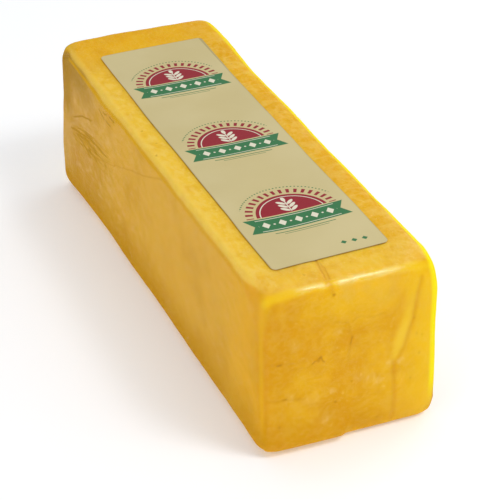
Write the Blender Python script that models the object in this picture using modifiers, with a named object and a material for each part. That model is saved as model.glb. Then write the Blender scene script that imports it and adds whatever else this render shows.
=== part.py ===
"""A long rectangular block of cheddar, shrunk tightly into clear film, with a label along its top.

Metres, +Z up. +Y runs back along the block, so the end that shows best looks towards -Y.
The origin is the middle of the flat base. The film clings to the cheese all over, so block
and film are one solid, and the label is a thin plate of its own just above it.
"""
import math

import bmesh
import bpy
from mathutils import Vector, noise

# The block
LENGTH = 0.2920
WIDTH = 0.0905
HEIGHT = 0.0880
EDGE_RADIUS = 0.0085
EDGE_SEGMENTS = 3
FACE_SPACING = 0.0065
LENGTH_SPACING = 0.0085
CUT_MERGE = 1e-6

# Between its ends, each of the three edges that meet at the front left upper corner is
# crisper, with a radius named by the two axes whose faces meet there
CRISP_RADIUS = {(0, 1): 0.0040, (0, 2): 0.0038, (1, 2): 0.0058}
CRISP_START = 0.008
CRISP_FULL = 0.024
CRISP_REACH = 0.020

# Gentle unevenness of a pressed block
SWELL = 0.0004
WAIST = 0.0010
REAR_DRIFT = 0.0016
REAR_DRIFT_START = 0.040
LUMP_SIZE = 0.045
LUMP_HEIGHT = 0.0008
DIMPLE_SIZE = 0.017
DIMPLE_HEIGHT = 0.00025
SETTLE_HEIGHT = 0.006

# How far each upper corner is pressed in, by its side and its end
CORNER_REACH = 0.020
CORNER_PRESS = {("left", "front"): 0.0014, ("right", "front"): 0.0020,
                ("left", "back"): 0.0, ("right", "back"): 0.0004}

# The folds that the film leaves on the front end, as places across (X) and up (Z)
FOLD_ROUTE = [(0.0364, 0.0885), (0.0326, 0.0687), (0.0273, 0.0529), (0.0210, 0.0404), (0.0219, 0.0)]
FOLD_HEIGHT = 0.0011
FOLD_HALF_WIDTH = 0.0045
FOLD_SPACING = 0.0035
CREASE_X = -0.0100
CREASE_REACH = 0.018
CREASE_DEPTH = 0.0007
CREASE_HALF_WIDTH = 0.0030
FOOT_BULGE = 0.0010
FOOT_TUCK = 0.0012
FOOT_END_X = -0.0010
FOOT_HEIGHT = 0.020

# The label
LABEL_LENGTH = 0.2390
LABEL_WIDTH = 0.0580
LABEL_X = -0.0015
LABEL_Y = -0.0055
LABEL_THICKNESS = 0.0003
LABEL_CORNER_RADIUS = 0.004
LABEL_CORNER_SEGMENTS = 3
LABEL_SPACING = 0.0095
LABEL_GAP = 0.0003

# Finishes
CHEESE_COLOUR = (0.76, 0.44, 0.045, 1.0)
CHEESE_ROUGHNESS = 0.28
LABEL_COLOUR = (0.60, 0.52, 0.27, 1.0)
LABEL_ROUGHNESS = 0.45


def clear_scene():
    for thing in list(bpy.data.objects):
        bpy.data.objects.remove(thing, do_unlink=True)


def new_collection(name):
    collection = bpy.data.collections.new(name)
    bpy.context.scene.collection.children.link(collection)
    return collection


def new_material(name, colour, roughness):
    material = bpy.data.materials.new(name)
    material.use_nodes = True
    shader = material.node_tree.nodes["Principled BSDF"]
    shader.inputs["Base Color"].default_value = colour
    shader.inputs["Roughness"].default_value = roughness
    shader.inputs["Metallic"].default_value = 0.0
    return material


def ramp(value, low, high):
    """Rise smoothly from 0 at low to 1 at high."""
    share = min(max((value - low) / (high - low), 0.0), 1.0)
    return share * share * (3.0 - 2.0 * share)


def hump(distance, half_width):
    """A rounded ridge, 1 in its middle and close to 0 past two half widths."""
    return math.exp(-(distance / half_width) ** 2)


def stations(half, spacing):
    """Evenly spaced places for cuts across a face, clear of the rounded edges."""
    reach = half - EDGE_RADIUS - 0.4 * spacing
    count = math.ceil(2 * reach / spacing)
    return [-reach + 2 * reach * i / count for i in range(count + 1)]


def crisp_edges(point):
    """The move that tightens the rounding of the three crisper edges; the faces stay flat."""
    gaps = (point.x + WIDTH / 2, point.y + LENGTH / 2, HEIGHT - point.z)
    spare = (WIDTH / 2 - abs(point.x), LENGTH / 2 - abs(point.y), min(point.z, HEIGHT - point.z))
    facing = Vector([max(0.0, EDGE_RADIUS - gap) for gap in gaps]).normalized()
    beside = [1.0 - ramp(gap, EDGE_RADIUS, CRISP_REACH) for gap in gaps]
    signs = (-1, -1, 1)
    move = Vector()
    for (first, second), radius in CRISP_RADIUS.items():
        along = 3 - first - second
        tighter = (EDGE_RADIUS - radius) * ramp(spare[along], CRISP_START, CRISP_FULL)
        for axis in (first, second):
            move[axis] += signs[axis] * tighter * beside[first] * beside[second] * (1.0 - facing[axis])
    return move


def fold_x(height):
    """Where the fold on the front end lies across the block, at a height above the base."""
    for (x_above, z_above), (x_below, z_below) in zip(FOLD_ROUTE, FOLD_ROUTE[1:]):
        if height >= z_below:
            share = (height - z_below) / (z_above - z_below)
            return x_below + (x_above - x_below) * share
    return FOLD_ROUTE[-1][0]


def swell(point, outward):
    """The faces stand out a little along their middles, and the long sides draw in to a waist."""
    along = 1.0 - (2 * point.y / LENGTH) ** 2
    across = 1.0 - (2 * point.x / WIDTH) ** 2
    upward = 1.0 - (2 * point.z / HEIGHT - 1.0) ** 2
    return SWELL * max(across, upward) - WAIST * along * abs(outward.x)


def lumps(point):
    coarse = noise.noise(point / LUMP_SIZE) * LUMP_HEIGHT
    fine = noise.noise(point / DIMPLE_SIZE + Vector((7.3, 1.9, 4.1))) * DIMPLE_HEIGHT
    return coarse + fine


def front_fold(point):
    """The long slanting fold of film on the right of the front end."""
    if point.z > HEIGHT:
        return 0.0
    beside = point.x - fold_x(point.z) + 0.6 * FOLD_HALF_WIDTH
    faded = ramp(point.z, 0.0, 0.012) * (1.0 - ramp(point.z, HEIGHT - 0.010, HEIGHT))
    return FOLD_HEIGHT * hump(beside, FOLD_HALF_WIDTH) * faded


def front_crease(point):
    """The short crease that runs over the front edge of the top."""
    from_edge = math.hypot(point.y + LENGTH / 2, point.z - HEIGHT)
    faded = 1.0 - ramp(from_edge, 0.4 * CREASE_REACH, CREASE_REACH)
    return -CREASE_DEPTH * hump(point.x - CREASE_X, CREASE_HALF_WIDTH) * faded


def foot(point):
    """The front end's lower edge stands out on its left and is tucked in on its right."""
    right = ramp(point.x, FOOT_END_X - 0.004, FOOT_END_X + 0.002)
    low = 1.0 - ramp(point.z, 0.3 * FOOT_HEIGHT, FOOT_HEIGHT)
    return (FOOT_BULGE * (1.0 - right) - FOOT_TUCK * right) * low


def relief(point, outward):
    """How far the wrapped surface stands out from the plain rounded block."""
    height = swell(point, outward) + lumps(point)
    if outward.y < -0.3:
        facing = ramp(-outward.y, 0.3, 0.9)
        height += facing * (front_fold(point) + foot(point))
    height += front_crease(point)
    return height


def rear_drift(point):
    """The rear of the block leans a little to the right, most at its top."""
    upward = ramp(point.z, 0.0, HEIGHT)
    return Vector((REAR_DRIFT * upward * ramp(point.y, REAR_DRIFT_START, LENGTH / 2), 0.0, 0.0))


def corner_press(point):
    """The move that presses the four upper corners in."""
    side = "left" if point.x < 0 else "right"
    end = "front" if point.y < 0 else "back"
    corner = Vector((math.copysign(WIDTH / 2, point.x), math.copysign(LENGTH / 2, point.y), HEIGHT))
    inward = Vector((-math.copysign(1, point.x), -math.copysign(1, point.y), -1)).normalized()
    near = 1.0 - ramp((point - corner).length, 0.3 * CORNER_REACH, CORNER_REACH)
    return inward * near * CORNER_PRESS[(side, end)]


def plain_block():
    """A box cut into a grid, with its twelve edges rounded."""
    shape = bmesh.new()
    bmesh.ops.create_cube(shape, size=1.0)
    bmesh.ops.scale(shape, vec=(WIDTH, LENGTH, HEIGHT), verts=shape.verts)
    fold_from = FOLD_ROUTE[3][0] - 2 * FOLD_HALF_WIDTH
    across = [x for x in stations(WIDTH / 2, FACE_SPACING) if x < fold_from]
    widest = WIDTH / 2 - EDGE_RADIUS - 0.4 * FACE_SPACING
    fine_count = math.ceil((widest - fold_from) / FOLD_SPACING)
    across += [fold_from + (widest - fold_from) * i / fine_count for i in range(fine_count + 1)]
    cuts = [(Vector((x, 0, 0)), Vector((1, 0, 0))) for x in across]
    cuts += [(Vector((0, y, 0)), Vector((0, 1, 0))) for y in stations(LENGTH / 2, LENGTH_SPACING)]
    cuts += [(Vector((0, 0, z)), Vector((0, 0, 1))) for z in stations(HEIGHT / 2, FACE_SPACING)]
    for place, direction in cuts:
        everything = shape.verts[:] + shape.edges[:] + shape.faces[:]
        bmesh.ops.bisect_plane(shape, geom=everything, dist=CUT_MERGE, plane_co=place,
                               plane_no=direction)
    sharp = [edge for edge in shape.edges if edge.calc_face_angle(0.0) > math.radians(60)]
    bmesh.ops.bevel(shape, geom=sharp, offset=EDGE_RADIUS, offset_type="OFFSET", affect="EDGES",
                    segments=EDGE_SEGMENTS, profile=0.5, material=-1, clamp_overlap=True)
    bmesh.ops.translate(shape, vec=(0, 0, HEIGHT / 2), verts=shape.verts)
    return shape


def shape_surface(shape):
    """Move every point of the plain block out or in by the relief; the base stays flat."""
    shape.normal_update()
    outward = {vert: vert.normal.copy() for vert in shape.verts}
    for vert in shape.verts:
        point = vert.co.copy()
        move = outward[vert] * relief(point, outward[vert]) + corner_press(point) + rear_drift(point)
        move.z *= ramp(point.z, 0.0, SETTLE_HEIGHT)
        vert.co = point + crisp_edges(point) + move


def finish_mesh(shape, name, material, collection):
    mesh = bpy.data.meshes.new(name)
    bmesh.ops.recalc_face_normals(shape, faces=shape.faces)
    shape.to_mesh(mesh)
    shape.free()
    mesh.shade_smooth()
    mesh.materials.append(material)
    thing = bpy.data.objects.new(name, mesh)
    collection.objects.link(thing)
    return thing


def middle_of(shape):
    """The sideways place of the middle of a shape's box."""
    xs = [vert.co.x for vert in shape.verts]
    ys = [vert.co.y for vert in shape.verts]
    return Vector(((min(xs) + max(xs)) / 2, (min(ys) + max(ys)) / 2, 0.0))


def make_block(collection):
    shape = plain_block()
    shape_surface(shape)
    shift = -middle_of(shape)
    bmesh.ops.translate(shape, vec=shift, verts=shape.verts)
    material = new_material("cheese_in_film", CHEESE_COLOUR, CHEESE_ROUGHNESS)
    finish_mesh(shape, "cheddar_block", material, collection)
    return shift


def make_label(collection, shift):
    """A thin sheet with rounded corners that follows the top of the block."""
    shape = bmesh.new()
    bmesh.ops.create_grid(shape, x_segments=math.ceil(LABEL_WIDTH / LABEL_SPACING),
                          y_segments=math.ceil(LABEL_LENGTH / LABEL_SPACING), size=0.5)
    bmesh.ops.scale(shape, vec=(LABEL_WIDTH, LABEL_LENGTH, 1.0), verts=shape.verts)
    corners = [vert for vert in shape.verts if len(vert.link_edges) == 2]
    bmesh.ops.bevel(shape, geom=corners, offset=LABEL_CORNER_RADIUS, offset_type="OFFSET",
                    affect="VERTICES", segments=LABEL_CORNER_SEGMENTS, profile=0.5, material=-1)
    bmesh.ops.translate(shape, vec=(LABEL_X, LABEL_Y, HEIGHT), verts=shape.verts)
    up = Vector((0, 0, 1))
    for vert in shape.verts:
        vert.co += up * (relief(vert.co.copy(), up) + LABEL_GAP) + rear_drift(vert.co)
    bmesh.ops.translate(shape, vec=shift, verts=shape.verts)
    material = new_material("label_paper", LABEL_COLOUR, LABEL_ROUGHNESS)
    label = finish_mesh(shape, "label", material, collection)
    thickness = label.modifiers.new("Thickness", "SOLIDIFY")
    thickness.thickness = LABEL_THICKNESS
    thickness.offset = 1.0


def main():
    clear_scene()
    collection = new_collection("cheddar")
    shift = make_block(collection)
    make_label(collection, shift)


main()
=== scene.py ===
# %% [markdown]
# # A block of cheddar in clear film
#
# The real object is one long block of orange-yellow cheese. It was pressed in a mould, slipped
# into a clear bag, and the air was drawn out, so the film clings to every face and gathers into
# small folds where it had too much room. A long printed label lies along the top.
#
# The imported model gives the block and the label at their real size. This script dresses it: a
# cheese body, the film round it and a printed label each become a finely shaped mesh with a
# finish of its own.

# %% Load the frame
import math

import bmesh
import bpy
from mathutils import Matrix, Vector, noise


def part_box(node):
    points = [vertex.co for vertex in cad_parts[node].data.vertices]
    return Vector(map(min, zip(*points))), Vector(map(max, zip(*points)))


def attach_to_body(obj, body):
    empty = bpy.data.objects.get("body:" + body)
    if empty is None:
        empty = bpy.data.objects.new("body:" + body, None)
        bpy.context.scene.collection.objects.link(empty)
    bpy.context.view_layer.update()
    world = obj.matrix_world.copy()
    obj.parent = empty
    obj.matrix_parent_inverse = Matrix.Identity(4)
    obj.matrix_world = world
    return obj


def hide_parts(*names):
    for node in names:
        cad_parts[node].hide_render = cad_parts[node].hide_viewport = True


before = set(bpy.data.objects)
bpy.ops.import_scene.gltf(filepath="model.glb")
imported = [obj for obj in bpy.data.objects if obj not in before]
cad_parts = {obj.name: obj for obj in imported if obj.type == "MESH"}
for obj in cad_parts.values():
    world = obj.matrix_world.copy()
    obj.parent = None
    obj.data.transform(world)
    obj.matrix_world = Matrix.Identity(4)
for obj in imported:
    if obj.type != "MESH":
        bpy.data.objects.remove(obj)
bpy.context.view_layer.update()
block_low, block_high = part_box("cheddar_block")
label_low, label_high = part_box("label")
block_size = block_high - block_low
print("block box in mm:", [round(side * 1000, 1) for side in block_size])
print("label box in mm:", [round(side * 1000, 1) for side in label_high - label_low])

# %% [markdown]
# ## The camera
#
# The photograph looks down on the block from its front left with a long lens. A camera could be
# aimed with a Track To constraint, but here its three axes are worked out from the viewing
# angles, because a matrix built that way is easy to check against the picture.

# %% Camera at the photograph's angle
VIEW_TURN = math.radians(-21.878)
VIEW_RISE = math.radians(30.752)
VIEW_ROLL = -0.0164
VIEW_DISTANCE = 0.9987
VIEW_SIDE = 0.0093
VIEW_LIFT = -0.0184
VIEW_CENTRE = Vector((-0.0006, -0.0004, 0.04425))
LENS_MM = 141.9


def view_axes(turn, rise, roll):
    """The camera's right, up and back directions."""
    back = Vector((math.sin(turn) * math.cos(rise), -math.cos(turn) * math.cos(rise), math.sin(rise)))
    right = Vector((math.cos(turn), math.sin(turn), 0.0))
    up = back.cross(right)
    turned_right = right * math.cos(roll) + up * math.sin(roll)
    turned_up = up * math.cos(roll) - right * math.sin(roll)
    return turned_right, turned_up, back


right, up, back = view_axes(VIEW_TURN, VIEW_RISE, VIEW_ROLL)
camera_data = bpy.data.cameras.new("camera")
camera_data.lens = LENS_MM
camera_data.sensor_width = 36.0
camera = bpy.data.objects.new("camera", camera_data)
bpy.context.scene.collection.objects.link(camera)
place = VIEW_CENTRE + back * VIEW_DISTANCE + right * VIEW_SIDE + up * VIEW_LIFT
axes = Matrix((right, up, back)).transposed().to_4x4()
camera.matrix_world = Matrix.Translation(place) @ axes
bpy.context.scene.camera = camera
print("camera stands at", [round(value, 3) for value in place])

# %% [markdown]
# ## Floor and studio light
#
# The photograph is cut out on white. A pale floor in bright, even light comes close to that and
# still lets the block stand on something. A large soft key lamp shines from the front right, and
# a smaller one beside it draws the white streak along the front edge. A third from behind on the
# right lights the far rim, a fourth the top, and a fifth fills the left side, which stays the
# darkest of the faces in view.


# %% Floor
def plain_finish(name, colour, roughness, glow):
    material = bpy.data.materials.new(name)
    material.use_nodes = True
    shader = material.node_tree.nodes["Principled BSDF"]
    shader.inputs["Base Color"].default_value = (*colour, 1.0)
    shader.inputs["Roughness"].default_value = roughness
    shader.inputs["Emission Color"].default_value = (1.0, 1.0, 1.0, 1.0)
    shader.inputs["Emission Strength"].default_value = glow
    return material


FLOOR_SIZE = 8.0
FLOOR_GLOW = 0.24
floor_shape = bmesh.new()
bmesh.ops.create_grid(floor_shape, x_segments=1, y_segments=1, size=FLOOR_SIZE / 2)
floor_mesh = bpy.data.meshes.new("floor")
floor_shape.to_mesh(floor_mesh)
floor_shape.free()
floor_mesh.materials.append(plain_finish("floor_paint", (0.87, 0.89, 0.92), 0.9, FLOOR_GLOW))
floor = bpy.data.objects.new("floor", floor_mesh)
bpy.context.scene.collection.objects.link(floor)


# %% Lamps and sky
def soft_lamp(name, direction, distance, size, power):
    """A square area lamp that looks at the middle of the block from a direction."""
    data = bpy.data.lights.new(name, "AREA")
    data.shape = "SQUARE"
    data.size = size
    data.energy = power
    lamp = bpy.data.objects.new(name, data)
    towards = Vector(direction).normalized()
    lamp.location = VIEW_CENTRE + towards * distance
    lamp.rotation_euler = towards.to_track_quat("Z", "Y").to_euler()
    bpy.context.scene.collection.objects.link(lamp)


SKY_STRENGTH = 0.38
soft_lamp("key_lamp", (0.40, -0.62, 0.85), 1.6, 0.7, 6.0)
soft_lamp("glint_lamp", (0.33, -0.53, 0.80), 1.5, 0.30, 3.4)
soft_lamp("rim_lamp", (0.80, 0.45, 0.42), 1.5, 1.0, 5.0)
soft_lamp("top_lamp", (-0.10, 0.25, 1.0), 1.7, 1.2, 4.5)
soft_lamp("fill_lamp", (-0.90, -0.40, 0.45), 1.7, 1.4, 5.5)
world = bpy.data.worlds.new("studio")
world.use_nodes = True
world.node_tree.nodes["Background"].inputs["Color"].default_value = (1.0, 1.0, 1.0, 1.0)
world.node_tree.nodes["Background"].inputs["Strength"].default_value = SKY_STRENGTH
bpy.context.scene.world = world
bpy.context.scene.view_settings.view_transform = "Standard"
bpy.context.scene.view_settings.look = "None"

# %% [markdown]
# ## Working with shader nodes
#
# A finish here is a recipe of many small sums. Wiring each Math node by hand would bury the
# recipe, so a socket is wrapped in a small class: writing a * b + 1 then adds the nodes. Colours
# and vectors go through Mix and Vector Math, because a Math node would turn a colour grey.


# %% A socket that can be used in sums
class Wire:
    def __init__(self, tree, socket):
        self.tree = tree
        self.socket = socket

    def node(self, kind, settings=None, sockets=None, output=0):
        """Add any node: its settings first, then values or links for its sockets."""
        made = self.tree.nodes.new(kind)
        for name, value in (settings or {}).items():
            setattr(made, name, value)
        for name, value in (sockets or {}).items():
            if isinstance(value, Wire):
                self.tree.links.new(value.socket, made.inputs[name])
            else:
                made.inputs[name].default_value = value
        return Wire(self.tree, made.outputs[output])

    def math(self, operation, *others):
        values = (self, *others)
        return self.node("ShaderNodeMath", {"operation": operation}, dict(enumerate(values)))

    def __add__(self, other):
        return self.math("ADD", other)

    __radd__ = __add__

    def __mul__(self, other):
        return self.math("MULTIPLY", other)

    __rmul__ = __mul__

    def __sub__(self, other):
        return self.math("SUBTRACT", other)

    def __rsub__(self, other):
        return (self * -1.0) + other

    def __truediv__(self, other):
        return self.math("DIVIDE", other)

    def least(self, other):
        return self.math("MINIMUM", other)

    def most(self, other):
        return self.math("MAXIMUM", other)

    def size(self):
        return self.math("ABSOLUTE")

    def ramp(self, low, high, start=0.0, end=1.0):
        """Rise smoothly from start to end while the value goes from low to high."""
        sockets = {"Value": self, "From Min": low, "From Max": high, "To Min": start, "To Max": end}
        return self.node("ShaderNodeMapRange", {"interpolation_type": "SMOOTHSTEP"}, sockets)

    def blend(self, first, second):
        """A colour that goes from first to second as this value goes from 0 to 1."""
        sockets = {0: self, 6: first, 7: second}
        return self.node("ShaderNodeMix", {"data_type": "RGBA"}, sockets, output=2)


# %% Starting and ending a finish
def start_finish(name, **constants):
    """A material with its shader, its constants set, and the place in millimetres as wires."""
    material = bpy.data.materials.new(name)
    material.use_nodes = True
    tree = material.node_tree
    shader = tree.nodes["Principled BSDF"]
    for socket, value in constants.items():
        shader.inputs[socket.replace("_", " ")].default_value = value
    start = Wire(tree, None)
    place = start.node("ShaderNodeTexCoord", output="Object")
    millimetres = start.node("ShaderNodeVectorMath", {"operation": "SCALE"}, {0: place, "Scale": 1000.0})
    parts = [start.node("ShaderNodeSeparateXYZ", None, {0: millimetres}, axis) for axis in "XYZ"]
    return material, shader, millimetres, parts


def attach(wire, shader, socket):
    wire.tree.links.new(wire.socket, shader.inputs[socket])


def grain(place, size, detail=2.0, roughness=0.5, stretch=(1.0, 1.0, 1.0), offset=(0.0, 0.0, 0.0)):
    """Soft noise from 0 to 1 with features about this many millimetres across."""
    scale = [1.0 / (size * factor) for factor in stretch]
    moved = place.node("ShaderNodeMapping", None, {"Vector": place, "Location": offset, "Scale": scale})
    sockets = {"Vector": moved, "Scale": 1.0, "Detail": detail, "Roughness": roughness}
    return place.node("ShaderNodeTexNoise", {"normalize": True}, sockets)


def bump(height, strength, distance, under=None):
    """A Bump node; heights are in millimetres times distance."""
    sockets = {"Height": height, "Strength": strength, "Distance": distance}
    if under is not None:
        sockets["Normal"] = under
    return height.node("ShaderNodeBump", None, sockets)


# %% [markdown]
# ## The form of the wrapped block
#
# A pressed block is almost a box: its edges are rounded, its sides draw in a little along their
# length, and the surface is gently uneven. It could be sculpted by hand, but a few named
# functions of the place are easier to read and give the cheese and the film the same form. The
# cage is a cube cut into a grid, with its twelve edges bevelled, and a Subdivision Surface makes
# it fine enough to carry the folds.

# %% Driving sizes of the block
LENGTH = 0.2920
WIDTH = 0.0905
HEIGHT = 0.0880
EDGE_RADIUS = 0.0085
EDGE_SEGMENTS = 3
ACROSS_SPACING = 0.0046
ALONG_SPACING = 0.0062
FINE_STRETCHES = [(0.013, 0.036), (-0.016, -0.006)]
SMOOTH_LEVELS = 2
CRISP_RADIUS = {(0, 1): 0.0040, (0, 2): 0.0038, (1, 2): 0.0058}
CRISP_START = 0.008
CRISP_FULL = 0.024
CRISP_REACH = 0.020
SCALLOP_SIZE = 0.021
SCALLOP_DEPTH = 0.0006
SWELL = 0.0004
WAIST = 0.0010
REAR_DRIFT = 0.0016
REAR_DRIFT_START = 0.040
LUMP_SIZE = 0.045
LUMP_HEIGHT = 0.0008
DIMPLE_SIZE = 0.017
DIMPLE_HEIGHT = 0.00025
SETTLE_HEIGHT = 0.006
CORNER_REACH = 0.020
CORNER_PRESS = {("left", "front"): 0.0014, ("right", "front"): 0.0020,
                ("left", "back"): 0.0, ("right", "back"): 0.0004}
FOOT_BULGE = 0.0010
FOOT_TUCK = 0.0012
FOOT_END_X = -0.0010
FOOT_HEIGHT = 0.020
REAR_BULGE = 0.0011
REAR_BULGE_TOP = (0.030, 0.060)
REAR_BULGE_START = (0.085, 0.135)


# %% Small helpers for shapes
def ramp(value, low, high):
    """Rise smoothly from 0 at low to 1 at high."""
    share = min(max((value - low) / (high - low), 0.0), 1.0)
    return share * share * (3.0 - 2.0 * share)


def hump(distance, half_width):
    """A rounded ridge, 1 in its middle and close to 0 past two half widths."""
    return math.exp(-(distance / half_width) ** 2)


def stations(half, spacing, fine_stretches=()):
    """Even places for cuts across a face, twice as close within the fine stretches."""
    reach = half - EDGE_RADIUS - 0.4 * spacing
    count = math.ceil(2 * reach / spacing)
    places = [-reach + 2 * reach * i / count for i in range(count + 1)]
    between = [(first + second) / 2 for first, second in zip(places, places[1:])]
    return places + [x for x in between if any(low < x < high for low, high in fine_stretches)]


# %% Large forms of the surface
def swell(point, outward):
    along = 1.0 - (2 * point.y / LENGTH) ** 2
    across = 1.0 - (2 * point.x / WIDTH) ** 2
    upward = 1.0 - (2 * point.z / HEIGHT - 1.0) ** 2
    return SWELL * max(across, upward) - WAIST * along * abs(outward.x)


def lumps(point):
    coarse = noise.noise(point / LUMP_SIZE) * LUMP_HEIGHT
    fine = noise.noise(point / DIMPLE_SIZE + Vector((7.3, 1.9, 4.1))) * DIMPLE_HEIGHT
    return coarse + fine


def foot(point):
    """The front end's lower edge stands out on its left and is tucked in on its right."""
    to_right = ramp(point.x, FOOT_END_X - 0.004, FOOT_END_X + 0.002)
    low = 1.0 - ramp(point.z, 0.3 * FOOT_HEIGHT, FOOT_HEIGHT)
    return (FOOT_BULGE * (1.0 - to_right) - FOOT_TUCK * to_right) * low


def gaps_to_faces(point):
    """How far the point is from the nearest face along each axis."""
    return (WIDTH / 2 - abs(point.x), LENGTH / 2 - abs(point.y), min(point.z, HEIGHT - point.z))


def facing_from(gaps):
    """The direction that a rounded edge faces, from the gaps to the faces it joins."""
    return Vector([max(0.0, EDGE_RADIUS - gap) for gap in gaps]).normalized()


def rounding(point):
    """0 on the flat faces, rising to 1 along the crown of every rounded edge."""
    facing = facing_from(gaps_to_faces(point))
    return min((1.0 - max(facing)) / (1.0 - math.sqrt(0.5)), 1.0)


def crisp_edges(point):
    """The move that tightens the rounding of the three crisper edges; the faces stay flat."""
    gaps = (point.x + WIDTH / 2, point.y + LENGTH / 2, HEIGHT - point.z)
    spare = gaps_to_faces(point)
    facing = facing_from(gaps)
    beside = [1.0 - ramp(gap, EDGE_RADIUS, CRISP_REACH) for gap in gaps]
    signs = (-1, -1, 1)
    move = Vector()
    for (first, second), radius in CRISP_RADIUS.items():
        along = 3 - first - second
        tighter = (EDGE_RADIUS - radius) * ramp(spare[along], CRISP_START, CRISP_FULL)
        for axis in (first, second):
            move[axis] += signs[axis] * tighter * beside[first] * beside[second] * (1.0 - facing[axis])
    return move


def scallops(point):
    """The long upper left edge wavers a little, as a hand-wrapped edge does."""
    near = hump(math.hypot(point.x + WIDTH / 2, point.z - HEIGHT), EDGE_RADIUS)
    return -SCALLOP_DEPTH * near * (0.5 + noise.noise(Vector((point.y / SCALLOP_SIZE, 3.7, 1.2))))


def rear_drift(point):
    upward = ramp(point.z, 0.0, HEIGHT)
    return Vector((REAR_DRIFT * upward * ramp(point.y, REAR_DRIFT_START, LENGTH / 2), 0.0, 0.0))


def rear_bulge(point, outward):
    """Low down near the back the left side stands out about a millimetre."""
    low = 1.0 - 0.75 * ramp(point.z, *REAR_BULGE_TOP)
    return REAR_BULGE * max(-outward.x, 0.0) * low * ramp(point.y, *REAR_BULGE_START)


def corner_press(point):
    side = "left" if point.x < 0 else "right"
    end = "front" if point.y < 0 else "back"
    corner = Vector((math.copysign(WIDTH / 2, point.x), math.copysign(LENGTH / 2, point.y), HEIGHT))
    inward = Vector((-math.copysign(1, point.x), -math.copysign(1, point.y), -1)).normalized()
    near = 1.0 - ramp((point - corner).length, 0.3 * CORNER_REACH, CORNER_REACH)
    return inward * near * CORNER_PRESS[(side, end)]


# %% [markdown]
# ## Folds and creases
#
# Where the bag had spare film it closed into folds. The largest slants down the right of the
# front end: a rounded ridge between two lines, which narrows to one dark line lower down. Two
# finer creases climb over the front edge. They could be sculpted, but here each is a route of a
# few points on its face, and the height follows from the distance to that route.

# %% Routes on the faces, in metres
FOLD_RIGHT = [(0.0343, 0.0799), (0.0317, 0.0727), (0.0296, 0.0591), (0.0258, 0.0458),
              (0.0214, 0.0375)]
FOLD_LEFT = [(0.0257, 0.0785), (0.0234, 0.0721), (0.0218, 0.0585), (0.0185, 0.0479),
             (0.0196, 0.0375)]
FOLD_HEIGHT = 0.0009
FOLD_RIGHT_DEPTH = 0.0004
FOLD_LEFT_DEPTH = 0.00015
FOLD_LINE_WIDTH = 0.0010
FOLD_FOOT = (0.038, 0.064)
FOLD_HEAD = (0.074, 0.084)
FOLD_LINES_FOOT = (0.036, 0.056)
RIDGE_FOOT = (0.036, 0.044)
RIDGE_FADE = (0.050, 0.076)
LINE_ROUTE = [(0.0203, 0.0385), (0.0206, 0.0300), (0.0210, 0.0200), (0.0210, 0.0050)]
LINE_DEPTH = 0.0006
LINE_HALF_WIDTH = 0.0012
CREASE_TOP_ROUTE = [(-0.0092, -0.1246), (-0.0107, -0.1321), (-0.0117, -0.1397), (-0.0124, -0.1480)]
CREASE_SIDE_ROUTE = [(-0.0093, -0.1304), (-0.0098, -0.1383), (-0.0106, -0.1470)]
CREASE_FRONT_ROUTE = [(-0.0122, 0.0900), (-0.0108, 0.0851), (-0.0099, 0.0788)]
CREASE_DEPTH = 0.00035
CREASE_HALF_WIDTH = 0.0007
FRONT_SHADE_WIDTH = 0.0014
TOP_SHADE_WIDTH = 0.0011


def distance_to_route(first, second, route):
    """How far the place (first, second) is from the nearest stretch of a route, and which side."""
    nearest = 1.0
    side = 1.0
    for (x0, y0), (x1, y1) in zip(route, route[1:]):
        run_x, run_y = x1 - x0, y1 - y0
        share = ((first - x0) * run_x + (second - y0) * run_y) / (run_x ** 2 + run_y ** 2)
        share = min(max(share, 0.0), 1.0)
        off_x, off_y = first - x0 - share * run_x, second - y0 - share * run_y
        far = math.hypot(off_x, off_y)
        if far < nearest:
            nearest = far
            side = math.copysign(1.0, run_x * off_y - run_y * off_x)
    return nearest, side


def between_folds(point):
    """1 along the ridge between the two lines of the fold, falling to 0 at both."""
    right, right_side = distance_to_route(point.x, point.z, FOLD_RIGHT)
    left, left_side = distance_to_route(point.x, point.z, FOLD_LEFT)
    if right_side == left_side:
        return 0.0
    return math.sin(math.pi * left / (left + right))


def front_folds(point):
    """The slanting fold with its two lines, the line below it, and the end of the crease."""
    faded = ramp(point.z, *FOLD_FOOT) * (1.0 - ramp(point.z, *FOLD_HEAD))
    height = FOLD_HEIGHT * between_folds(point) * faded
    lines_end = ramp(point.z, *FOLD_LINES_FOOT)
    right = distance_to_route(point.x, point.z, FOLD_RIGHT)[0]
    height -= FOLD_RIGHT_DEPTH * hump(right, FOLD_LINE_WIDTH) * lines_end
    left = distance_to_route(point.x, point.z, FOLD_LEFT)[0]
    height -= FOLD_LEFT_DEPTH * hump(left, FOLD_LINE_WIDTH) * lines_end
    below = distance_to_route(point.x, point.z, LINE_ROUTE)[0]
    height -= LINE_DEPTH * hump(below, LINE_HALF_WIDTH)
    crease = distance_to_route(point.x, point.z, CREASE_FRONT_ROUTE)[0]
    return height - CREASE_DEPTH * hump(crease, CREASE_HALF_WIDTH)


def top_creases(point):
    first = distance_to_route(point.x, point.y, CREASE_TOP_ROUTE)[0]
    second = distance_to_route(point.x, point.y, CREASE_SIDE_ROUTE)[0]
    return -CREASE_DEPTH * (hump(first, CREASE_HALF_WIDTH) + 0.6 * hump(second, CREASE_HALF_WIDTH))


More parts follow.
